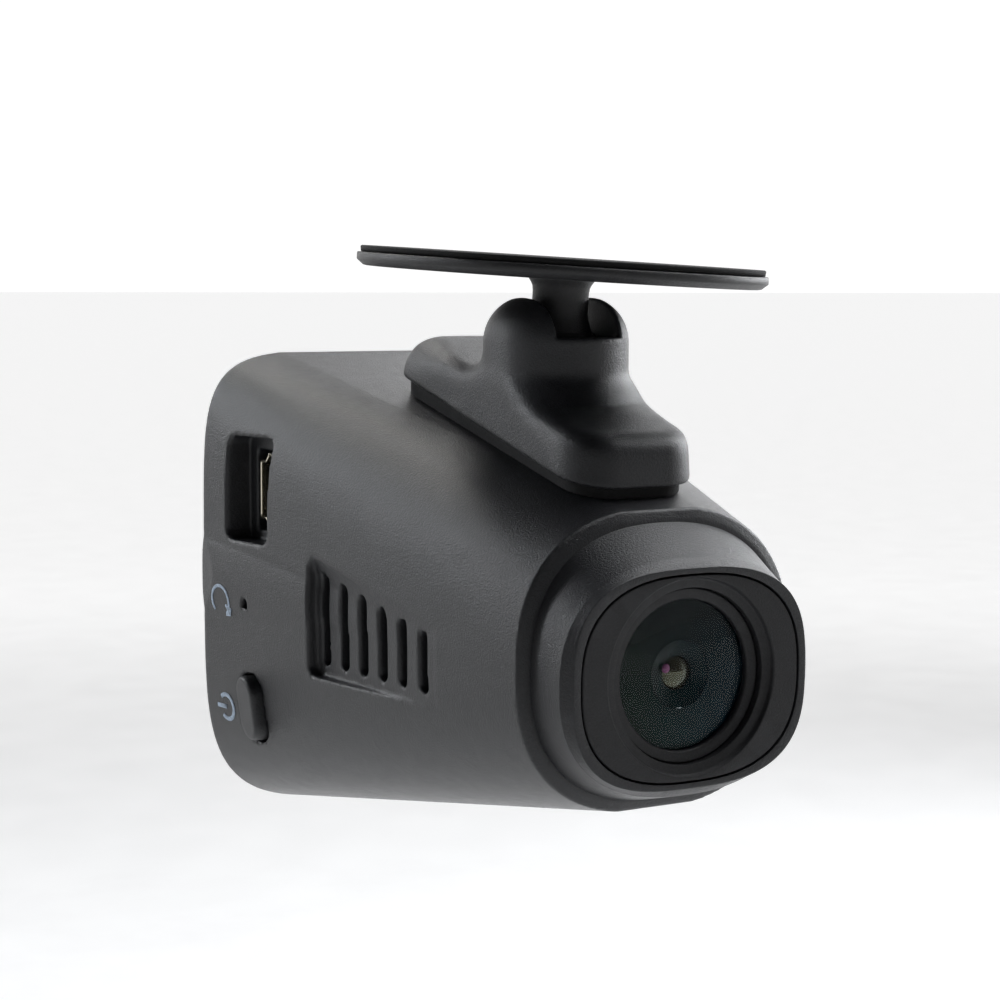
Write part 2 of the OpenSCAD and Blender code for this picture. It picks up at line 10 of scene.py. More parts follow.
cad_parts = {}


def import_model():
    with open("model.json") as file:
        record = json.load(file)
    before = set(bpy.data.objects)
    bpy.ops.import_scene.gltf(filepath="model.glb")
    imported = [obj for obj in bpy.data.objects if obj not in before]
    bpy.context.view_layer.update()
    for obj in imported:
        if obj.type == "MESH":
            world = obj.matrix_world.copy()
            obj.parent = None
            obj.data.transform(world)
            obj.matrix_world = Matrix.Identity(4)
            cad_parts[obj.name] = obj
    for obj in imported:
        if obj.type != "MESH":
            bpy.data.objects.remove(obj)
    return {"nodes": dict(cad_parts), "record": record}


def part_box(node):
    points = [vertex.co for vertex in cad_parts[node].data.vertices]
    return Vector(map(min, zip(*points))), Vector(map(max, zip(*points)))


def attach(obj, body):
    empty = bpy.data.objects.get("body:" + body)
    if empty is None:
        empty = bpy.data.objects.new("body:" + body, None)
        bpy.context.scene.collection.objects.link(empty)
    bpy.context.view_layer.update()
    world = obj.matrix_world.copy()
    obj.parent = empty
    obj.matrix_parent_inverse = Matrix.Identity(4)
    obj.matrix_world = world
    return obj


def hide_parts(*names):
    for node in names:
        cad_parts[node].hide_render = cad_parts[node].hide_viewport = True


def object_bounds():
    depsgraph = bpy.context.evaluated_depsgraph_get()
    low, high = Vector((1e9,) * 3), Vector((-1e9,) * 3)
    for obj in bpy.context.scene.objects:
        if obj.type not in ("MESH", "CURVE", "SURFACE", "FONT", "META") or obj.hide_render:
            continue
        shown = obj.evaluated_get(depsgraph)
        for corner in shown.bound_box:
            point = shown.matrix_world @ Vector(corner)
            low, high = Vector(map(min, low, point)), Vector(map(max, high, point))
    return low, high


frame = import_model()
CAD_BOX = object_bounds()
MM = 0.001

# ---------------------------------------------------------------- places
# The lens frame is in millimetres: origin at the centre of the lens face, the lens looks along -Y.
_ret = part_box("lens_retainer")
_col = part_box("snout_collar")
LENS = Vector(((_ret[0][0] + _ret[1][0]) / 2, _col[0][1], (_ret[0][2] + _ret[1][2]) / 2))
_ball = [j for j in frame["record"]["behaviour"]["joints"] if j["name"] == "head_pitch"][0]["pos_m"]
_face = frame["record"]["mounts"][0]
NORMAL = Vector(_face["axis"]).normalized()
BALL = Vector(_ball)

SNOUT_Y, SNOUT_Z, SNOUT_W, SNOUT_H = 5.7, 0.8, 29.6, 27.1
SNOUT_ROUND, REAR_ROUND_TOP, REAR_ROUND_LOW = 0.82, 0.33, 0.455
REAR_Y, REAR_Z, REAR_W, REAR_H = 57.8, 2.95, 44.2, 48.2
DEPTH = 58.6
WALL = 1.8
FOOT_SLOPE, FOOT_LOW = math.radians(14.6), 20.05
BALL_Y, BALL_Z = 23.4, 26.3


def world(points):
    """Lens frame millimetres to row frame metres."""
    return np.asarray(points, float) * MM + np.array(LENS)


# ---------------------------------------------------------------- materials
def new_material(name):
    m = bpy.data.materials.new(name)
    m.use_nodes = True
    nt = m.node_tree
    return m, nt, nt.nodes["Principled BSDF"]


def link(nt, a, b):
    nt.links.new(a, b)


def noise(nt, coords, scale, detail=3.0, rough=0.55):
    n = nt.nodes.new("ShaderNodeTexNoise")
    n.inputs["Scale"].default_value = scale
    n.inputs["Detail"].default_value = detail
    n.inputs["Roughness"].default_value = rough
    link(nt, coords, n.inputs["Vector"])
    return n


def ramp(nt, value, stops):
    r = nt.nodes.new("ShaderNodeValToRGB")
    e = r.color_ramp.elements
    while len(e) < len(stops):
        e.new(0.5)
    for el, (p, c) in zip(e, stops):
        el.position = p
        el.color = (*c, 1.0) if len(c) == 3 else c
    link(nt, value, r.inputs["Fac"])
    return r


def spread(nt, value, low, high):
    r = nt.nodes.new("ShaderNodeMapRange")
    r.inputs["To Min"].default_value = low
    r.inputs["To Max"].default_value = high
    link(nt, value, r.inputs["Value"])
    return r.outputs["Result"]


def plastic(name, color, rough=0.36, grain=5200.0, bump=0.8, vary=0.12, depth=0.00009, wear=0.4,
            spec=0.5):
    """Moulded plastic with a spark-eroded grain, faint mould flow and lighter worn edges."""
    m, nt, b = new_material(name)
    co = nt.nodes.new("ShaderNodeTexCoord").outputs["Object"]
    fine = noise(nt, co, grain, 4.0, 0.7)
    mid = noise(nt, co, grain / 7, 2.0)
    flow = noise(nt, co, 60.0, 3.0)
    c = np.array(color)
    tone = ramp(nt, flow.outputs["Fac"], [(0.3, tuple(c * (1 - vary))), (0.7, tuple(c * (1 + vary)))])
    speck = ramp(nt, fine.outputs["Fac"],
                 [(0.36, tuple(c * 0.72)), (0.5, tuple(c)), (0.66, tuple(c * 1.5))])
    mix = nt.nodes.new("ShaderNodeMix")
    mix.data_type = "RGBA"
    mix.inputs[0].default_value = 0.8
    link(nt, tone.outputs["Color"], mix.inputs[6])
    link(nt, speck.outputs["Color"], mix.inputs[7])
    geo = nt.nodes.new("ShaderNodeNewGeometry")
    edge = ramp(nt, geo.outputs["Pointiness"], [(0.52, (0, 0, 0)), (0.6, (1, 1, 1))])
    worn = nt.nodes.new("ShaderNodeMath")
    worn.operation = "MULTIPLY"
    worn.inputs[1].default_value = wear
    link(nt, edge.outputs["Color"], worn.inputs[0])
    mix2 = nt.nodes.new("ShaderNodeMix")
    mix2.data_type = "RGBA"
    mix2.inputs[7].default_value = (*tuple(c * 2.1), 1)
    link(nt, worn.outputs[0], mix2.inputs[0])
    link(nt, mix.outputs[2], mix2.inputs[6])
    link(nt, mix2.outputs[2], b.inputs["Base Color"])
    link(nt, spread(nt, mid.outputs["Fac"], rough - 0.05, rough + 0.07), b.inputs["Roughness"])
    bp = nt.nodes.new("ShaderNodeBump")
    bp.inputs["Strength"].default_value = bump
    bp.inputs["Distance"].default_value = depth
    link(nt, fine.outputs["Fac"], bp.inputs["Height"])
    link(nt, bp.outputs["Normal"], b.inputs["Normal"])
    b.inputs["Specular IOR Level"].default_value = spec
    return m


def metal(name, color, rough=0.25, stretch=(1, 1, 1), scale=1500.0, bump=0.1):
    """Plated or tinned metal with fine drawn lines and dull patches."""
    m, nt, b = new_material(name)
    tc = nt.nodes.new("ShaderNodeTexCoord")
    mp = nt.nodes.new("ShaderNodeMapping")
    mp.inputs["Scale"].default_value = stretch
    link(nt, tc.outputs["Object"], mp.inputs["Vector"])
    lines = noise(nt, mp.outputs["Vector"], scale, 3.0)
    dull = noise(nt, tc.outputs["Object"], 350.0, 3.0)
    c = np.array(color)
    col = ramp(nt, dull.outputs["Fac"], [(0.3, tuple(c * 0.78)), (0.62, tuple(c))])
    link(nt, col.outputs["Color"], b.inputs["Base Color"])
    b.inputs["Metallic"].default_value = 1.0
    link(nt, spread(nt, dull.outputs["Fac"], rough - 0.08, rough + 0.12), b.inputs["Roughness"])
    bp = nt.nodes.new("ShaderNodeBump")
    bp.inputs["Strength"].default_value = bump
    bp.inputs["Distance"].default_value = 0.00001
    link(nt, lines.outputs["Fac"], bp.inputs["Height"])
    link(nt, bp.outputs["Normal"], b.inputs["Normal"])
    return m


def glassy(name, color, trans=1.0, ior=1.5, rough=0.02, alpha=1.0, coat=0.0):
    """Polished glass with a little dust in its roughness."""
    m, nt, b = new_material(name)
    co = nt.nodes.new("ShaderNodeTexCoord").outputs["Object"]
    dust = noise(nt, co, 900.0, 4.0)
    c = np.array(color)
    col = ramp(nt, dust.outputs["Fac"], [(0.3, tuple(c * 0.93)), (0.7, tuple(c))])
    link(nt, col.outputs["Color"], b.inputs["Base Color"])
    link(nt, spread(nt, dust.outputs["Fac"], rough, rough + 0.05), b.inputs["Roughness"])
    b.inputs["Transmission Weight"].default_value = trans
    b.inputs["IOR"].default_value = ior
    b.inputs["Alpha"].default_value = alpha
    b.inputs["Coat Weight"].default_value = coat
    return m


GREY = (0.0125, 0.0132, 0.0155)
MATS = {
    "housing_plastic": plastic("housing_grain", GREY, rough=0.33),
    "ring_plastic": plastic("ring_grain", (0.011, 0.0112, 0.0128), rough=0.5, bump=0.6, spec=0.42),
    "black_plastic": plastic("black_moulding", (0.003, 0.003, 0.0033), rough=0.8, bump=0.3,
                             spec=0.12),
    "coated_glass": glassy("coated_glass", (0.6, 0.75, 0.8)),
    "filter_glass": glassy("filter_glass", (0.4, 0.75, 0.75)),
    "sensor_silicon": plastic("sensor_silicon", (0.03, 0.025, 0.05), rough=0.15, grain=2500.0,
                              bump=0.05),
    "circuit_board": plastic("board_lacquer", (0.015, 0.11, 0.05), rough=0.3, grain=1400.0,
                             bump=0.2, vary=0.3),
    "flex_film": plastic("flex_film", (0.42, 0.18, 0.03), rough=0.3, grain=1400.0, bump=0.1),
    "tinned_steel": metal("tinned_steel", (0.66, 0.67, 0.68), 0.32, (1, 1, 8)),
    "heat_rubber": plastic("heat_rubber", (0.24, 0.3, 0.45), rough=0.75, grain=2500.0),
    "socket_metal": metal("socket_metal", (0.82, 0.76, 0.62), 0.2, (8, 1, 1)),
    "key_plastic": plastic("key_grain", GREY, rough=0.45, bump=0.6),
    "switch_plastic": plastic("switch_plastic", (0.6, 0.6, 0.57), rough=0.5, grain=2500.0,
                              bump=0.15),
    "window_glass": plastic("window_gloss", (0.006, 0.0065, 0.008), rough=0.09, grain=900.0,
                            bump=0.0, wear=0.0),
    "display_glass": plastic("display_gloss", (0.012, 0.014, 0.02), rough=0.12, grain=900.0,
                             bump=0.0),
    "cell_foil": metal("cell_foil", (0.5, 0.52, 0.55), 0.35),
    "foot_plastic": plastic("foot_grain", (0.0115, 0.0122, 0.0145), rough=0.38),
    # Near-black foam: the adhesive pad's own colour, and on the gasket under the foot a painted shadow
    # line.
    "pad_rubber": plastic("pad_foam_and_painted_shadow", (0.0035, 0.0035, 0.0038), rough=0.9, grain=2600.0, bump=0.8,
                          depth=0.00008),
    "screw_steel": metal("screw_steel", (0.5, 0.5, 0.52), 0.3, (1, 8, 1)),
    "seat_nylon": plastic("seat_nylon", (0.03, 0.03, 0.032), rough=0.4, grain=2000.0, bump=0.1),
    "plate_plastic": plastic("plate_grain", (0.007, 0.0072, 0.0083), rough=0.42),
}
MAT_PRINT = plastic("print_ink", (0.3, 0.37, 0.46), rough=0.6, grain=3000.0, bump=0.1, wear=0.0)

SLOT_OF = {s["node"]: s["material_slot"] for s in frame["record"]["subparts"]}
for node_name, node_ob in frame["nodes"].items():
    mat = MATS[SLOT_OF[node_name]]
    if node_ob.material_slots:
        for ms in node_ob.material_slots:
            ms.material = mat
    else:
        node_ob.data.materials.append(mat)


# ---------------------------------------------------------------- mesh makers
def place_object(name, mesh, mat, body, node=None, smooth=True):
    ob = bpy.data.objects.new(name, mesh)
    bpy.context.scene.collection.objects.link(ob)
    mesh.materials.append(mat)
    if smooth:
        mesh.polygons.foreach_set("use_smooth", [True] * len(mesh.polygons))
    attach(ob, body)
    if node:
        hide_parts(node)
    return ob


def raw_mesh(name, verts, quads):
    me = bpy.data.meshes.new(name)
    verts = np.asarray(verts, np.float32)
    quads = np.asarray(quads, np.int32)
    k = quads.shape[1]
    me.vertices.add(len(verts))
    me.vertices.foreach_set("co", verts.ravel())
    me.loops.add(quads.size)
    me.loops.foreach_set("vertex_index", quads.ravel())
    me.polygons.add(len(quads))
    me.polygons.foreach_set("loop_start", np.arange(len(quads), dtype=np.int32) * k)
    me.update(calc_edges=True)
    me.validate()
    return me


def nets(vol, lo, h):
    """Surface nets over a grid of signed distances: vertices and outward quads."""
    s = vol < 0
    n = [d - 1 for d in vol.shape]
    cnt = np.zeros(n, np.int8)
    for i in (0, 1):
        for j in (0, 1):
            for k in (0, 1):
                cnt += s[i:n[0] + i, j:n[1] + j, k:n[2] + k]
    act = (cnt > 0) & (cnt < 8)
    ijk = np.argwhere(act)
    idx = np.full(act.shape, -1, np.int32)
    idx[act] = np.arange(len(ijk))
    pos = np.zeros((len(ijk), 3))
    num = np.zeros(len(ijk))
    corner = {}
    for o in [(i, j, k) for i in (0, 1) for j in (0, 1) for k in (0, 1)]:
        corner[o] = vol[ijk[:, 0] + o[0], ijk[:, 1] + o[1], ijk[:, 2] + o[2]]
    for a in corner:
        for ax in range(3):
            if a[ax] == 0:
                b = list(a)
                b[ax] = 1
                va, vb = corner[a], corner[tuple(b)]
                m = (va < 0) != (vb < 0)
                p = np.tile(np.array(a, float), (int(m.sum()), 1))
                p[:, ax] = va[m] / (va[m] - vb[m])
                pos[m] += p
                num[m] += 1
    verts = np.array(lo) + h * (ijk + pos / num[:, None])
    faces = []
    for ax in range(3):
        b, c = (ax + 1) % 3, (ax + 2) % 3
        lo_sl = [slice(None)] * 3
        hi_sl = [slice(None)] * 3
        lo_sl[ax], hi_sl[ax] = slice(None, -1), slice(1, None)
        for q in (b, c):
            lo_sl[q] = hi_sl[q] = slice(1, -1)
        inner = s[tuple(lo_sl)]
        q = np.argwhere(inner != s[tuple(hi_sl)])
        start = inner[tuple(q.T)]
        q[:, b] += 1
        q[:, c] += 1

        def cell(db, dc):
            r = q.copy()
            r[:, b] += db
            r[:, c] += dc
            return idx[tuple(r.T)]

        quad = np.stack([cell(-1, -1), cell(0, -1), cell(0, 0), cell(-1, 0)], 1)
        quad[~start] = quad[~start][:, ::-1]
        faces.append(quad)
    return verts, np.concatenate(faces)


def smin(a, b, k):
    w = np.clip(0.5 + 0.5 * (b - a) / k, 0, 1)
    return b * (1 - w) + a * w - k * w * (1 - w)


def smax(a, b, k):
    return -smin(-a, -b, k)


def field(low, high, h, func, name, mat, body, node=None, relax=0):
    """A piece from a distance function of X, Y, Z in lens frame millimetres."""
    axes = [np.arange(l - 1.5 * h, u + 2.5 * h, h, dtype=np.float32) for l, u in zip(low, high)]
    x, y, z = np.meshgrid(*axes, indexing="ij")
    verts, quads = nets(func(x, y, z), [a[0] for a in axes], h)
    if relax:
        e = np.concatenate([quads[:, [0, 1]], quads[:, [1, 2]], quads[:, [2, 3]], quads[:, [3, 0]]])
        e = np.concatenate([e, e[:, ::-1]])
        deg = np.bincount(e[:, 0], minlength=len(verts)).astype(float)[:, None]
        for f in (0.6, -0.6) * relax:
            total = [np.bincount(e[:, 0], verts[e[:, 1], c], len(verts)) for c in range(3)]
            avg = np.stack(total, 1) / deg
            verts = verts + f * (avg - verts)
    verts = np.clip(verts, low, high)
    me = raw_mesh(name, world(verts), quads)
    return place_object(name, me, mat, body, node)


def box_sdf(x, y, z, lo, hi, r=0.0):
    c = [(a + b) / 2 for a, b in zip(lo, hi)]
    e = [(b - a) / 2 - r for a, b in zip(lo, hi)]
    q = [abs(v - m) - s for v, m, s in zip((x, y, z), c, e)]
    out = np.sqrt(sum(np.maximum(v, 0) ** 2 for v in q))
    return out + np.minimum(np.maximum(q[0], np.maximum(q[1], q[2])), 0) - r


def rect2(u, v, cu, cv, hu, hv, r):
    a, b = abs(u - cu) - hu + r, abs(v - cv) - hv + r
    return np.sqrt(np.maximum(a, 0) ** 2 + np.maximum(b, 0) ** 2) + np.minimum(np.maximum(a, b), 0) - r


def loft(name, rings, mat, body, node=None, closed=True, bevel=0.0, count=192,
         frame_m=None):
    """A tube through rings of (half width, half height, y, z centre[, power]).

    A power of 2 is an ellipse, more is squarish; left out, it is 2 where the halves are the same.
    """
    a = np.arange(count) * 2 * math.pi / count
    verts = []
    for hw, hh, y, zc, *power in rings:
        hw, hh = max(hw, 1e-6), max(hh, 1e-6)
        p = power[0] if power else 2.4 if hh < hw - 0.3 else 2.0
        r = (abs(np.cos(a) / hw) ** p + abs(np.sin(a) / hh) ** p) ** (-1 / p)
        verts.append(np.stack([r * np.cos(a), np.full(count, y), zc + r * np.sin(a)], 1))
    verts = np.concatenate(verts)
    quads = []
    n = len(rings)
    for k in range(n if closed else n - 1):
        i = np.arange(count)
        j = (i + 1) % count
        a0, b0 = k * count, ((k + 1) % n) * count
        quads.append(np.stack([a0 + i, b0 + i, b0 + j, a0 + j], 1))
    quads = np.concatenate(quads)
    pts = world(verts) if frame_m is None else np.array([frame_m @ Vector(v * MM) for v in verts])
    me = raw_mesh(name, pts, quads)
    bm = bmesh.new()
    bm.from_mesh(me)
    if not closed:
        bmesh.ops.contextual_create(bm, geom=[e for e in bm.edges if e.is_boundary])
        bmesh.ops.holes_fill(bm, edges=[e for e in bm.edges if e.is_boundary])
    bmesh.ops.remove_doubles(bm, verts=bm.verts, dist=1e-7)
    bmesh.ops.recalc_face_normals(bm, faces=bm.faces)
    bm.to_mesh(me)
    bm.free()
    ob = place_object(name, me, mat, body, node)
    if bevel:
        bv = ob.modifiers.new("bevel", "BEVEL")
        bv.width = bevel * MM
        bv.segments = 3
        bv.limit_method = "ANGLE"
        bv.angle_limit = math.radians(20)
        bv.harden_normals = False
    wn = ob.modifiers.new("normals", "WEIGHTED_NORMAL")
    wn.keep_sharp = True
    return ob


def circles(*rows):
    """Rings of a turned piece from (radius, y)."""
    return [(r, r, y, 0.0) for r, y in rows]


# ---------------------------------------------------------------- housing
def outline(f, arc=160, flat=40):
    """Section of the housing at f from 0 at the snout to 1 at the back."""
    a = np.linspace(-1, 1, arc) * math.radians(78)
    c, t = np.cos(a), np.sin(a) / math.sin(math.radians(78))
    x1, z1 = SNOUT_W / 2 * c ** SNOUT_ROUND, SNOUT_H / 2 * np.sign(t) * abs(t) ** SNOUT_ROUND
    p = np.where(t > 0, REAR_ROUND_TOP, REAR_ROUND_LOW)
    x2, z2 = REAR_W / 2 * c ** p, REAR_H / 2 * np.sign(t) * abs(t) ** p
    x, z = x1 * (1 - f) + x2 * f, z1 * (1 - f) + z2 * f
    s = np.linspace(1, -1, flat)[1:-1]
    xs = np.concatenate([x, x[-1] * s, -x[::-1], -x[0] * s])
    zs = np.concatenate([z, np.full(flat - 2, z[-1]), z[::-1], np.full(flat - 2, z[0])])
    return xs, zs


def frac(y):
    return (y - SNOUT_Y) / (REAR_Y - SNOUT_Y)


def centre_z(f):
    return SNOUT_Z * (1 - f) + REAR_Z * f


def body_distance(x, y, z):
    d = np.empty(x.shape, np.float32)
    for iy in range(x.shape[1]):
        f = max(min(frac(float(y[0, iy, 0])), 1.0), -0.02)
        px, pz = outline(f)
        ang = np.arctan2(pz, px)
        o = np.argsort(ang)
        ang, rad = ang[o], np.hypot(px, pz)[o]
        dx, dz = x[:, iy, :], z[:, iy, :] - centre_z(f)
        th, r = np.arctan2(dz, dx), np.hypot(dx, dz)
        big = np.interp(th, ang, rad, period=2 * math.pi)
        lean = (np.interp(th + 0.01, ang, rad, period=2 * math.pi) - big) / 0.01 / big
        d[:, iy, :] = (r - big) / np.sqrt(1 + lean ** 2)
    return d


def side_x(y, z):
    """X of the left side of the housing at y and z."""
    f = frac(y)
    px, pz = outline(f)
    left = px < 0
    o = np.argsort(pz[left])
    return float(np.interp(z - centre_z(f), pz[left][o], px[left][o]))


BUTTON_Y, BUTTON_Z, BUTTON_W, BUTTON_L = 49.3, -9.2, 4.0, 6.8
RESET_Y, RESET_Z, PIN_R = 49.8, 1.55, 0.56
USB_Y, USB_Z = 49.5, 13.2
CARD_Y, CARD_Z = 48.3, -1.0
VENT_DEPTH = 1.15


def pill(u, v, cu, cv, w, l):
    """Distance to a pill standing along v."""
    dv = np.maximum(abs(v - cv) - (l - w) / 2, 0)
    return np.sqrt((u - cu) ** 2 + dv ** 2) - w / 2


def vents(x, y, z, d):
    """Distance to the vent recess and slots of one side; d is the body's own."""
    along = (y - 18.0)
    top = 3.2 + (y - 17.9) * (7.9 - 3.2) / (37.9 - 17.9)
    fade = np.clip((top - z) / 3.2, 0, 1)
    fade = fade * (2 - fade)
    floor = -d - np.clip(along / 20.0, 0, 1.1) * VENT_DEPTH * (0.12 + 0.88 * fade)
    plan = np.maximum(np.maximum(17.4 - y, y - 38.2), np.maximum(-4.15 - z, (z - top) * 0.97))
    corner = ((y - 38.2) + (z - 7.9)) / math.sqrt(2) + 0.75
    low = ((y - 38.2) - (z + 4.15)) / math.sqrt(2) + 0.45
    plan = smax(plan, np.maximum(corner, low), 0.3)
    rec = smax(floor, plan, 0.35)
    out = rec
    for i in range(6):
        sy = 36.7 - 3.48 * i
        hi, lo = 6.15 - 0.69 * i, -3.05
        out = np.minimum(out, pill(y, z, sy, (hi + lo) / 2, 1.3, hi - lo))
    return np.maximum(out, 12.5 - abs(x))


def housing(x, y, z):
    d = body_distance(x, y, z)
    front = 5.15 - y
    out = np.maximum(d, front)
    out = np.maximum(out, d * 0.41 + front * 0.912 + 0.4)
    back = y - DEPTH
    out = smax(out, back, 0.5)
    out = smax(out, (d + back) / math.sqrt(2) + 0.35, 0.3)
    space = np.maximum(d + WALL, 7.5 - y)
    out = smax(out, -space, 0.2)
    pads = np.minimum(np.maximum(13.9 - abs(x), np.maximum(abs(y - 28.5) - 12.5, abs(z - 2) - 8)),
                      box_sdf(x, y, z, (-30, 44.6, 5.5), (-16.4, 54.4, 21.4)))
    pads = np.minimum(pads, box_sdf(x, y, z, (-30, 45.4, -14.8), (-17.2, 53.4, 4.2)))
    pads = np.minimum(pads, box_sdf(x, y, z, (16.2, 45.1, -8.2), (30, 51, 6.2)))
    out = np.minimum(out, np.maximum(pads, d + 0.4))
    out = np.maximum(out, 10.45 - np.hypot(x, z) - 99 * (y > 8.5))
    left = x < 0
    out = smax(out, -vents(x, y, z, d), 0.22)
    pocket = np.maximum(rect2(y, z, 49.6, 13.35, 3.8, 5.35, 1.1), x + 18.6)
    out = smax(out, -np.where(left, pocket, 9), 0.3)
    hole = np.maximum(rect2(y, z, USB_Y, USB_Z, 2.35, 4.15, 0.7), x + 9)
    out = smax(out, -np.where(left, hole, 9), 0.15)
    pin = np.where(left, np.hypot(y - RESET_Y, z - RESET_Z) - PIN_R, 9)
    out = np.maximum(out, -np.maximum(pin, x + 14))
    but = pill(y, z, BUTTON_Y, BUTTON_Z, BUTTON_W + 0.5, BUTTON_L + 0.5)
    out = smax(out, -np.where(left, but, 9), 0.2)
    card = rect2(y, z, CARD_Y, CARD_Z, 0.9, 5.9, 0.3)
    out = smax(out, -np.where(left, 9, card), 0.2)
    return out


shell = field((-22.12, 5.0, -21.14), (22.12, 58.6, 27.04), 0.25, housing,
              "housing", MATS["housing_plastic"], "camera", "front_shell", relax=2)
SHELL_TREE = BVHTree.FromPolygons([v.co[:] for v in shell.data.vertices],
                                  [p.vertices[:] for p in shell.data.polygons])


def skin_x(y, z):
    """X of the finished left side of the housing at y and z, in lens frame millimetres."""
    hit = SHELL_TREE.ray_cast(Vector(world([(-40, y, z)])[0]), Vector((1, 0, 0)))[0]
    return (hit.x - LENS.x) / MM


# ---------------------------------------------------------------- collar and lens
loft("collar", [
    (13.55, 12.6, 6.2, 0.72), (13.6, 12.55, 5.2, 0.7),
    (13.21, 10.66, 1.02, -0.06, 2.4), (13.17, 10.62, 0.96, -0.06, 2.4),
    (12.4, 9.82, 0.04, -0.1, 2.9), (12.34, 9.76, 0.0, -0.1, 2.9), (11.66, 9.33, 0.0, -0.1, 2.6),
    (11.6, 9.27, 0.45, -0.1, 2.6), (11.55, 9.22, 1.5, -0.1, 2.6),
    (8.6, 8.6, 1.56, 0.0), (8.6, 8.6, 10.1, 0.0), (10.3, 10.3, 10.1, 0.0), (10.3, 10.3, 6.3, 0.0),
], MATS["housing_plastic"], "camera", "snout_collar", bevel=0.05)

loft("trim_ring", [
    (11.46, 9.14, 1.48, -0.1, 2.6), (11.46, 9.14, 0.12, -0.1, 2.6), (11.4, 9.08, 0.03, -0.1, 2.6),
    (11.3, 9.03, 0.02, -0.1, 2.6), (8.98, 8.96, 0.02, 0.0, 2.0), (8.9, 8.88, 0.05, 0.0, 2.0),
    (8.84, 8.84, 0.13, 0.0),
    (8.8, 8.8, 0.3, 0.0), (8.72, 8.72, 0.44, 0.0), (8.6, 8.6, 0.5, 0.0), (8.02, 8.02, 0.56, 0.0),
    (7.93, 7.93, 0.6, 0.0), (7.9, 7.9, 0.7, 0.0), (7.9, 7.9, 1.48, 0.0),
], MATS["ring_plastic"], "camera", "front_ring", bevel=0.05)

loft("glass_retainer", circles(
    (7.84, 1.56), (7.82, 1.24), (7.7, 1.16), (6.95, 1.3), (6.86, 1.36), (6.78, 1.5), (6.76, 1.9),
    (7.05, 1.95),
    (7.05, 3.95), (8.5, 3.95), (8.5, 1.66), (7.9, 1.6)),
    MATS["ring_plastic"], "camera", "lens_retainer", bevel=0.04)


def coated_front():
    """Front glass: clear with a faint blue-green coating tint that varies with fine dust noise."""
    m, nt, b = new_material("front_glass")
    co = nt.nodes.new("ShaderNodeTexCoord").outputs["Object"]
    dust = noise(nt, co, 1800.0, 4.0)
    link(nt, spread(nt, dust.outputs["Fac"], 0.0, 0.05), b.inputs["Roughness"])
    col = ramp(nt, dust.outputs["Fac"], [(0.3, (0.86, 0.93, 0.95)), (0.7, (0.95, 1.0, 1.0))])
    link(nt, col.outputs["Color"], b.inputs["Base Color"])
    b.inputs["Transmission Weight"].default_value = 1.0
    b.inputs["IOR"].default_value = 1.12
    return m


def painted_reflection_glass(name, side, low, deep, rough):
    """Dark glass with a painted reflection: green at one side, blue-teal at the other, painted darker
    towards the top.
    """
    m, nt, b = new_material(name)
    tc = nt.nodes.new("ShaderNodeTexCoord").outputs["Object"]
    sp = nt.nodes.new("ShaderNodeSeparateXYZ")
    link(nt, tc, sp.inputs["Vector"])

    def axis(out, centre, half):
        r = nt.nodes.new("ShaderNodeMapRange")
        r.inputs["From Min"].default_value = centre - half
        r.inputs["From Max"].default_value = centre + half
        link(nt, sp.outputs[out], r.inputs["Value"])
        return r.outputs["Result"]

    across = axis("X", LENS.x, 0.0066)
    up = axis("Z", LENS.z, 0.0066)
    middle = tuple(0.5 * (np.array(low) + np.array(side)))
    # Painted reflection: the colour runs from green at one side of the lens to blue-teal at the other.
    painted_tint_across = ramp(nt, across, [(0.15, low), (0.5, middle), (0.85, side)])
    # Painted shade: the colour darkens towards the top of the lens.
    painted_top_shade = ramp(nt, up, [(0.1, (1, 1, 1)), (0.55, (0.62, 0.62, 0.62)), (0.95, (0.12, 0.12, 0.12))])
    mix = nt.nodes.new("ShaderNodeMix")
    mix.data_type = "RGBA"
    mix.blend_type = "MULTIPLY"
    mix.inputs[0].default_value = 1.0
    link(nt, painted_tint_across.outputs["Color"], mix.inputs[6])
    link(nt, painted_top_shade.outputs["Color"], mix.inputs[7])
    grain = noise(nt, tc, 900.0, 3.0)
    mix2 = nt.nodes.new("ShaderNodeMix")
    mix2.data_type = "RGBA"
    mix2.inputs[7].default_value = (*deep, 1)
    link(nt, spread(nt, grain.outputs["Fac"], 0.0, 0.3), mix2.inputs[0])
    link(nt, mix.outputs[2], mix2.inputs[6])
    link(nt, mix2.outputs[2], b.inputs["Base Color"])
    link(nt, spread(nt, grain.outputs["Fac"], rough, rough + 0.04), b.inputs["Roughness"])
    return m


def dome(name, r, y_edge, y_mid, mat, node=None, back=0.6, rings=14, body="camera"):
    """A lens element: a spherical front, a flat back and a straight rim."""
    sag = y_edge - y_mid
    big = (r * r + sag * sag) / (2 * sag)
    rows = []
    for i in range(rings + 1):
        q = r * math.sin(math.pi / 2 * i / rings)
        rows.append((q, y_mid + big - math.sqrt(big * big - q * q)))
    rows += [(r, y_edge + back), (r * 0.7, y_edge + back), (0.0, y_edge + back)]
    return loft(name, circles(*rows), mat, body, node, closed=True, count=128)


dome("front_glass", 6.72, 1.9, 1.0, coated_front(), "front_lens", back=0.1)

# Inner element colour is a painted reflection of the lens coating, darker towards the top.
PAINTED_REFLECTION = painted_reflection_glass("inner_painted_reflection", (0.006, 0.021, 0.032), (0.005, 0.016, 0.009),
                      (0.003, 0.004, 0.005), 0.12)
PAINTED_REFLECTION.node_tree.nodes["Principled BSDF"].inputs["Specular IOR Level"].default_value = 0.12
loft("inner_element", circles(
    (6.95, 2.6), (6.95, 2.12), (6.5, 2.08), (3.3, 2.16), (3.16, 2.12), (3.06, 2.13), (2.96, 2.24),
    (1.7, 2.72),
    (1.5, 2.78), (1.5, 3.2)), PAINTED_REFLECTION, "camera", None, bevel=0.02)


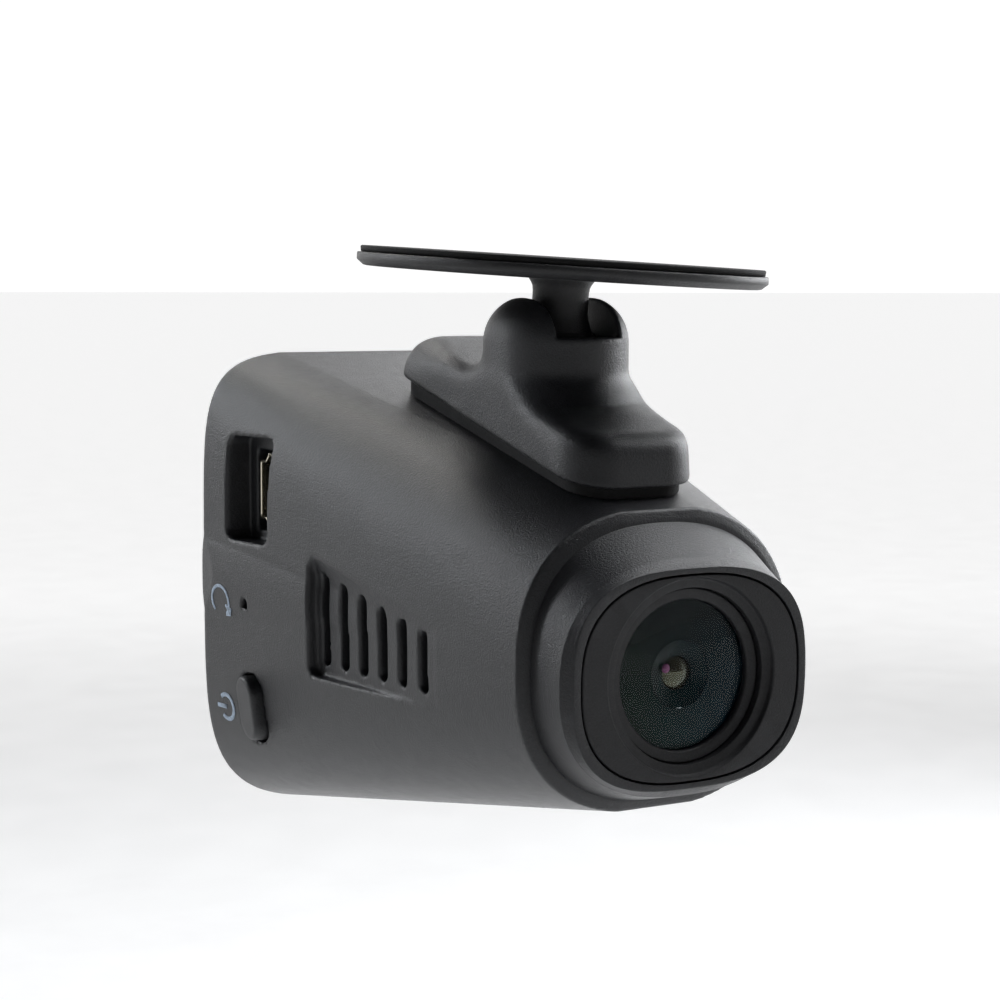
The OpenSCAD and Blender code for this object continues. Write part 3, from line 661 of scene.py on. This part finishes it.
def polished(name, color, tint, coat):
    """A small coated element that mirrors the lamps in the colour of its coating."""
    m, nt, b = new_material(name)
    co = nt.nodes.new("ShaderNodeTexCoord").outputs["Object"]
    dust = noise(nt, co, 2600.0, 3.0)
    c = np.array(color)
    col = ramp(nt, dust.outputs["Fac"], [(0.3, tuple(c * 0.7)), (0.7, tuple(c))])
    link(nt, col.outputs["Color"], b.inputs["Base Color"])
    link(nt, spread(nt, dust.outputs["Fac"], 0.06, 0.14), b.inputs["Roughness"])
    b.inputs["Specular Tint"].default_value = (*tint, 1)
    b.inputs["Specular IOR Level"].default_value = 0.9
    b.inputs["Coat Weight"].default_value = coat
    return m


GOLD = polished("gold_coating", (0.03, 0.024, 0.012), (0.95, 0.85, 0.55), 0.4)
# Bright pink base colour is a painted glint; the pink specular tint also mirrors the real lamps.
PINK_PAINTED_GLINT = polished("pink_painted_glint", (0.2, 0.05, 0.13), (0.95, 0.35, 0.7), 0.2)
dome("small_element", 1.48, 2.95, 2.3, GOLD, None, back=0.2)


def bead(name, x, z, r, y, mat):
    """A little bright spot of a deeper element, seen through the small one: it mirrors the lamps, and
    its bright base colour is a painted glint.
    """
    rows = [(r * math.sin(t), y - 0.25 * r * math.cos(t)) for t in np.linspace(0, math.pi / 2, 8)]
    rings = [(q, q, yy, 0.0) for q, yy in rows + [(r * 0.8, y + 0.1), (0.0, y + 0.1)]]
    shift = Matrix.Translation(Vector(world([(x, 0, z)])[0]))
    return loft(name, rings, mat, "camera", None, count=40, frame_m=shift)


bead("pink_glint", -1.28, 0.55, 0.42, 2.5, PINK_PAINTED_GLINT)


# ---------------------------------------------------------------- mount foot
FOOT_MID, FOOT_HALF_W, FOOT_HALF_L, FOOT_CORNER, FOOT_HIGH = 26.55, 7.0, 18.68, 4.4, 4.35
DOME_R, DOME_TOP, DOME_CORNER = 6.98, 6.95, 4.4
SLOT_HALF, SLOT_FLOOR, CUP_R = 3.45, 29.4, 4.9


def foot(x, y, z):
    """Distance to the mount foot: a sloping block that swells up into a slotted dome round the ball."""
    ca, sa = math.cos(FOOT_SLOPE), math.sin(FOOT_SLOPE)
    up = (z - FOOT_LOW) * ca - (y - BALL_Y) * sa
    plan = rect2(x, y, 0, FOOT_MID, FOOT_HALF_W, FOOT_HALF_L, FOOT_CORNER)
    tail = np.hypot(x * 0.62, np.maximum(y - 36.3, 0)) - 8.9
    plan = smax(plan, tail, 1.5)
    block = smax(plan, up - FOOT_HIGH, 2.3 + 3.6 * np.clip((y - 34) / 9, 0, 1))
    dx, dy, dz = x, y - BALL_Y, z - BALL_Z
    rise = np.hypot(dx, dy)
    a, b = rise - DOME_R + DOME_CORNER, dz - DOME_TOP + DOME_CORNER
    bulge = np.sqrt(np.maximum(a, 0) ** 2 + np.maximum(b, 0) ** 2)
    bulge = bulge + np.minimum(np.maximum(a, b), 0) - DOME_CORNER
    hill = np.hypot(x * 0.98, (y - 24.2) * 0.72) - 6.6 - np.maximum(23.2 - z, 0) * 0.75
    hill = smax(hill, z - 24.6, 2.0)
    out = smin(block, smin(bulge, hill, 1.8), 2.8)
    out = smax(out, plan, 0.5)
    out = smax(out, -up, 0.3)
    slot = np.maximum(abs(x) - SLOT_HALF, SLOT_FLOOR - z)
    out = smax(out, -slot, 0.35)
    out = smax(out, CUP_R - np.sqrt(dx ** 2 + dy ** 2 + dz ** 2), 0.15)
    lean = abs(dy) * math.cos(math.radians(24.5)) - dz * math.sin(math.radians(24.5)) - 3.2
    sweep = np.maximum(np.maximum(lean, abs(x) - SLOT_HALF), -dz)
    return smax(out, -sweep, 0.15)


field((-7.4, 7.4, 13), (7.4, 45.7, 33.4), 0.2, foot, "mount_foot_shape", MATS["foot_plastic"],
      "camera", "mount_foot", relax=2)


# ---------------------------------------------------------------- plate and stem
def turn_frame():
    """Frame at the ball's centre whose Y axis runs down the stem from the plate, in metres."""
    up = NORMAL
    side = Vector((1, 0, 0))
    side = (side - up * side.dot(up)).normalized()
    m = Matrix((side, -up, side.cross(-up))).transposed().to_4x4()
    m.translation = BALL
    return m


STEM = turn_frame()
PLATE_R, STEM_R, BALL_R = 19.6, 2.7, 4.2


def up_rows(*rows):
    """Rings from (radius, height above the ball's centre)."""
    return [(r, r, -h, 0.0) for r, h in rows]


BALL_ANGLES = [math.radians(a) for a in range(53, 180, 6)]
ball_rows = [(BALL_R * math.sin(a), BALL_R * math.cos(a)) for a in BALL_ANGLES]
loft("stem_and_ball", up_rows(
    (0.0, 8.69), (3.25, 8.69), (3.1, 8.4), (2.9, 8.12), (2.76, 7.8), (STEM_R, 7.3), (STEM_R, 5.3),
    (2.84, 4.7), (3.05, 4.1), (3.2, 3.5), (3.3, 2.9), *ball_rows, (0.0, -BALL_R)),
    MATS["plate_plastic"], "plate", "ball_stem", frame_m=STEM, count=128)
loft("round_plate", up_rows(
    (0.0, 9.98), (PLATE_R - 0.1, 9.98), (PLATE_R, 9.9), (PLATE_R, 9.32), (PLATE_R - 0.06, 9.24),
    (PLATE_R - 0.62, 8.78), (PLATE_R - 0.85, 8.73), (PLATE_R - 4, 8.72), (0.0, 8.72)),
    MATS["plate_plastic"], "plate", "mount_plate", frame_m=STEM, count=256)
loft("foam_pad", up_rows(
    (0.0, 10.595), (PLATE_R - 0.42, 10.595), (PLATE_R - 0.3, 10.5), (PLATE_R - 0.32, 10.3),
    (PLATE_R - 0.36, 10.02), (0.0, 10.02)),
    MATS["pad_rubber"], "plate", "adhesive_pad", frame_m=STEM, count=256)


# ---------------------------------------------------------------- keys and sockets
KEY_LEAN = (side_x(BUTTON_Y, BUTTON_Z + 3) - side_x(BUTTON_Y, BUTTON_Z - 3)) / 6


def power_key(x, y, z):
    x = x - KEY_LEAN * (z - BUTTON_Z)
    out = pill(y, z, BUTTON_Y, BUTTON_Z, BUTTON_W, BUTTON_L)
    out = smax(out, -21.3 - x, 0.6)
    out = np.maximum(out, x + 18.7)
    flange = pill(y, z, BUTTON_Y, BUTTON_Z, BUTTON_W + 1.8, BUTTON_L + 1.8)
    flange = np.maximum(flange, abs(x + 18.4) - 0.35)
    stub = np.maximum(np.hypot(y - BUTTON_Y, z - BUTTON_Z) - 1, abs(x + 17.7) - 0.4)
    return np.minimum(np.minimum(out, flange), stub)


field((-21.8, 46, -14), (-17.0, 52.6, -4.4), 0.13, power_key, "power_key", MATS["key_plastic"],
      "power_button", "power_button", relax=1)

COVER_Y = 56.2
KEY_Z = REAR_Z - 15.2
SCREEN_Z = REAR_Z + 4.6
for i in range(1, 5):
    kx = (i - 2.5) * 7.2

    def rear_key(x, y, z, kx=kx):
        cap = smax(pill(z, x, KEY_Z, kx, 3.4, 5.0), y - (COVER_Y + 2.48), 0.4)
        cap = np.maximum(cap, COVER_Y - 0.4 - y)
        flange = np.maximum(pill(z, x, KEY_Z, kx, 4.8, 6.4), abs(y - COVER_Y + 0.65) - 0.35)
        stub = np.maximum(np.hypot(x - kx, z - KEY_Z) - 0.9, abs(y - COVER_Y + 1.3) - 0.4)
        return np.minimum(np.minimum(cap, flange), stub)

    field((kx - 3.4, COVER_Y - 1.8, KEY_Z - 2.6), (kx + 3.4, COVER_Y + 2.6, KEY_Z + 2.6), 0.16,
          rear_key, "key_cap_%d" % i, MATS["key_plastic"], "rear_key_%d" % i, "rear_key_%d" % i,
          relax=1)


def cover(x, y, z):
    px, pz = outline(1.0)
    ang = np.arctan2(pz, px)
    o = np.argsort(ang)
    th, r = np.arctan2(z[:, 0, :] - REAR_Z, x[:, 0, :]), np.hypot(x[:, 0, :], z[:, 0, :] - REAR_Z)
    edge = r - np.interp(th, ang[o], np.hypot(px, pz)[o], period=2 * math.pi) + WALL + 0.25
    edge = np.repeat(edge[:, None, :], x.shape[1], 1)
    out = smax(edge, y - (COVER_Y + 1.88), 0.5)
    out = np.maximum(out, COVER_Y - y)
    for s in (-1, 1):
        out = np.minimum(out, box_sdf(x, y, z, (s * 18.3 - 0.6, COVER_Y - 1.6, REAR_Z - 12),
                                      (s * 18.3 + 0.6, COVER_Y + 0.4, REAR_Z + 12)))
        for t in (-1, 1):
            rr = np.hypot(x - s * 15.3, z - REAR_Z - t * 17.9)
            out = smax(out, -np.maximum(rr - 1.85, COVER_Y + 0.9 - y), 0.15)
            out = np.maximum(out, 1.15 - rr)
    win = rect2(x, z, 0, SCREEN_Z, 14.5, 10.5, 1.6)
    out = smax(out, -np.maximum(win, COVER_Y + 0.8 - y), 0.2)
    out = np.maximum(out, -rect2(x, z, 0, SCREEN_Z, 13, 9, 1))
    for i in range(1, 5):
        out = smax(out, -pill(z, x, KEY_Z, (i - 2.5) * 7.2, 4.0, 5.6), 0.2)
    return np.maximum(out, 0.5 - np.hypot(x, z - KEY_Z + 4.9))


field((-20.3, COVER_Y - 1.8, -19.4), (20.3, COVER_Y + 2, 25.3), 0.25, cover, "back_cover",
      MATS["housing_plastic"], "camera", "rear_cover", relax=1)


def usb_plan(u, v, g):
    """Distance to the mini-USB outline; v is along its long side and u points to the narrow side."""
    v = abs(v)
    wide = np.maximum(np.maximum(-1.98 - g - u, u + 0.2), v - 3.85 - g)
    neck = np.maximum(np.maximum(-1.98 - g - u, u - 1.98 - g), v - 3.1 - g)
    step = np.maximum(np.maximum(-0.2 - u, (v - 3.85 - g + (u + 0.2)) / math.sqrt(2)), -1.98 - g - u)
    step = np.maximum(step, u - 0.6)
    return smin(smin(wide, neck, 0.25), step, 0.25)


def usb_case(x, y, z):
    u, v = y - USB_Y, z - USB_Z
    rim = smax(usb_plan(u, v, -0.02), -18.48 - x, 0.12)
    rim = np.maximum(rim, x + 9.5)
    return smax(rim, -np.maximum(usb_plan(u, v, -0.33), x + 10.2), 0.1)


field((-18.6, USB_Y - 2.1, USB_Z - 4), (-9.3, USB_Y + 2.1, USB_Z + 4), 0.11, usb_case, "usb_case",
      MATS["socket_metal"], "camera", "usb_shell", relax=1)


# ---------------------------------------------------------------- printed marks
def ribbon(name, path, width, closed=False, lift=0.02):
    """A printed line of that width along points (y, z) on the left side of the housing."""
    p = np.array(path, float)
    nxt, prv = np.roll(p, -1, 0), np.roll(p, 1, 0)
    if not closed:
        nxt[-1], prv[0] = p[-1], p[0]
    d = nxt - prv
    d /= np.linalg.norm(d, axis=1)[:, None]
    nrm = np.stack([-d[:, 1], d[:, 0]], 1)
    rails = [p + nrm * width * s for s in (-0.5, 0.0, 0.5)]
    n = len(p)
    verts = [(skin_x(q[0], q[1]) - lift, q[0], q[1]) for r in rails for q in r]
    quads = []
    for r in range(2):
        for i in range(n if closed else n - 1):
            j = (i + 1) % n
            quads.append((r * n + i, r * n + j, (r + 1) * n + j, (r + 1) * n + i))
    me = raw_mesh(name, world(verts), quads)
    ob = place_object(name, me, MAT_PRINT, "camera", None)
    th = ob.modifiers.new("ink", "SOLIDIFY")
    th.thickness = 0.00002
    th.offset = 0
    return ob


def arc(cy, cz, r, a0, a1, n=28):
    t = np.radians(np.linspace(a0, a1, n))
    return [(cy + r * math.cos(v), cz + r * math.sin(v)) for v in t]


MARK_Y, MARK_Z = 54.1, -9.8
ribbon("mark_power_ring", arc(MARK_Y, MARK_Z, 1.3, 48, 312), 0.46)
ribbon("mark_power_bar", [(MARK_Y + v, MARK_Z) for v in (0.0, 0.6, 1.2, 1.75)], 0.46)
ribbon("mark_reset_arc", arc(54.3, 1.4, 1.6, -40, 230), 0.36)
ribbon("mark_reset_head_a", [(52.7, 0.1), (53.1, 0.8), (53.35, 1.1)], 0.36)
ribbon("mark_reset_head_b", [(53.4, 0.1), (52.7, 0.1), (52.4, 0.8)], 0.36)

# ---------------------------------------------------------------- stage
bottom = CAD_BOX[0][2]


def grid_sheet(name, size, z, mat, n=24):
    xs = np.linspace(-size / 2, size / 2, n)
    v = [(x, y, z) for x in xs for y in xs]
    q = [(i * n + j, (i + 1) * n + j, (i + 1) * n + j + 1, i * n + j + 1)
         for i in range(n - 1) for j in range(n - 1)]
    me = raw_mesh(name, v, q)
    me.materials.append(mat)
    ob = bpy.data.objects.new(name, me)
    bpy.context.scene.collection.objects.link(ob)
    return ob


floor_mat, floor_nt, floor_b = new_material("floor_pale")
fco = floor_nt.nodes.new("ShaderNodeTexCoord").outputs["Object"]
fn = noise(floor_nt, fco, 40.0, 3.0)
fr = ramp(floor_nt, fn.outputs["Fac"], [(0.3, (0.84, 0.84, 0.84)), (0.7, (0.88, 0.88, 0.88))])
floor_nt.links.new(fr.outputs["Color"], floor_b.inputs["Base Color"])
floor_b.inputs["Roughness"].default_value = 0.9
# Painted light: the floor glows by its own emission, more strongly away from the object, standing in
# for a bright white backdrop.
far = floor_nt.nodes.new("ShaderNodeVectorMath")
far.operation = "LENGTH"
floor_nt.links.new(fco, far.inputs[0])
glow = floor_nt.nodes.new("ShaderNodeMapRange")
glow.interpolation_type = "SMOOTHSTEP"
glow.inputs["From Min"].default_value = 0.25
glow.inputs["From Max"].default_value = 1.1
glow.inputs["To Max"].default_value = 0.85
floor_nt.links.new(far.outputs["Value"], glow.inputs["Value"])
floor_nt.links.new(glow.outputs["Result"], floor_b.inputs["Emission Strength"])
floor_nt.links.new(fr.outputs["Color"], floor_b.inputs["Emission Color"])
grid_sheet("floor", 60.0, bottom - 0.12, floor_mat)


def area(name, loc, target, size, size_y, power, color=(1, 1, 1)):
    l = bpy.data.lights.new(name, "AREA")
    l.shape = "RECTANGLE"
    l.size, l.size_y = size, size_y
    l.energy = power
    l.color = color
    ob = bpy.data.objects.new(name, l)
    ob.location = loc
    ob.rotation_euler = (Vector(target) - Vector(loc)).to_track_quat("-Z", "Y").to_euler()
    bpy.context.scene.collection.objects.link(ob)
    return ob


MID = Vector(world([(0, 28, 5)])[0])
area("light_shoulder", MID + Vector((-0.6, 0.675, 0.42)) * 0.55, MID, 0.07, 0.1, 1.2, (0.93, 0.96, 1.0))
area("light_ridge", MID + Vector((-0.02, 0.64, 0.77)) * 0.55, MID, 0.07, 0.09, 0.95, (1.0, 0.98, 0.95))
area("light_back", MID + Vector((0.6, 0.72, 0.4)) * 0.55, MID, 0.22, 0.2, 0.25, (0.97, 0.98, 1.0))
area("light_right", MID + Vector((0.5, 0.12, 0.16)), MID, 0.2, 0.3, 1.7, (0.95, 0.97, 1.0))
area("light_top", MID + Vector((0.5, -0.1, 0.84)) * 0.55, MID, 0.2, 0.2, 2.0, (0.97, 0.98, 1.0))

world_bg = bpy.data.worlds.new("studio")
bpy.context.scene.world = world_bg
world_bg.use_nodes = True
wn = world_bg.node_tree
bg = wn.nodes["Background"]
wtc = wn.nodes.new("ShaderNodeTexCoord")
wdot = wn.nodes.new("ShaderNodeVectorMath")
wdot.operation = "DOT_PRODUCT"
wdot.inputs[1].default_value = (-0.5, -0.86, 0.1)
wn.links.new(wtc.outputs["Generated"], wdot.inputs[0])
wmr = wn.nodes.new("ShaderNodeMapRange")
wmr.inputs["From Min"].default_value = -1.0
wn.links.new(wdot.outputs["Value"], wmr.inputs["Value"])
wsp = wn.nodes.new("ShaderNodeSeparateXYZ")
wn.links.new(wtc.outputs["Generated"], wsp.inputs["Vector"])
wz = wn.nodes.new("ShaderNodeMapRange")
wz.inputs["From Min"].default_value = -1.0
wn.links.new(wsp.outputs["Z"], wz.inputs["Value"])
wup = ramp(wn, wz.outputs["Result"], [(0.0, (1, 1, 1)), (0.62, (1, 1, 1)),
                                      (0.74, (0.34, 0.34, 0.34)), (1.0, (0.14, 0.14, 0.14))])
wmix = wn.nodes.new("ShaderNodeMix")
wmix.data_type = "RGBA"
wmix.blend_type = "MULTIPLY"
wmix.inputs[0].default_value = 1.0
wn.links.new(wup.outputs["Color"], wmix.inputs[7])
wr = ramp(wn, wmr.outputs["Result"], [
    (0.0, (1.05, 1.05, 1.05)),
    (0.3, (1.03, 1.03, 1.03)),
    (0.46, (0.6, 0.6, 0.61)),
    (0.6, (0.17, 0.17, 0.175)),
    (0.74, (0.1, 0.1, 0.1)),
    (0.84, (0.02, 0.02, 0.02)),
    (1.0, (0.012, 0.012, 0.012)),
])
wn.links.new(wr.outputs["Color"], wmix.inputs[6])
wn.links.new(wmix.outputs[2], bg.inputs["Color"])

# ---------------------------------------------------------------- camera
cam_data = bpy.data.cameras.new("camera_view")
cam = bpy.data.objects.new("camera_view", cam_data)
bpy.context.scene.collection.objects.link(cam)
cam_data.sensor_width = 36.0
cam_data.lens = 79.2
cam_data.clip_start = 0.01
rows = np.array([[0.8649, -0.5019, 0.0039], [-0.0463, -0.0875, -0.9951], [0.4997, 0.8605, -0.0989]])
u_, _, v_ = np.linalg.svd(rows)
rows = u_ @ v_
rot = Matrix((tuple(rows[0]), tuple(-rows[1]), tuple(-rows[2]))).transposed()
cam.matrix_world = Matrix.Translation(Vector(world([(-110.6, -156.5, 34.6)])[0])) @ rot.to_4x4()
bpy.context.scene.camera = cam
bpy.context.scene.view_settings.view_transform = "Standard"
bpy.context.scene.view_settings.look = "None"
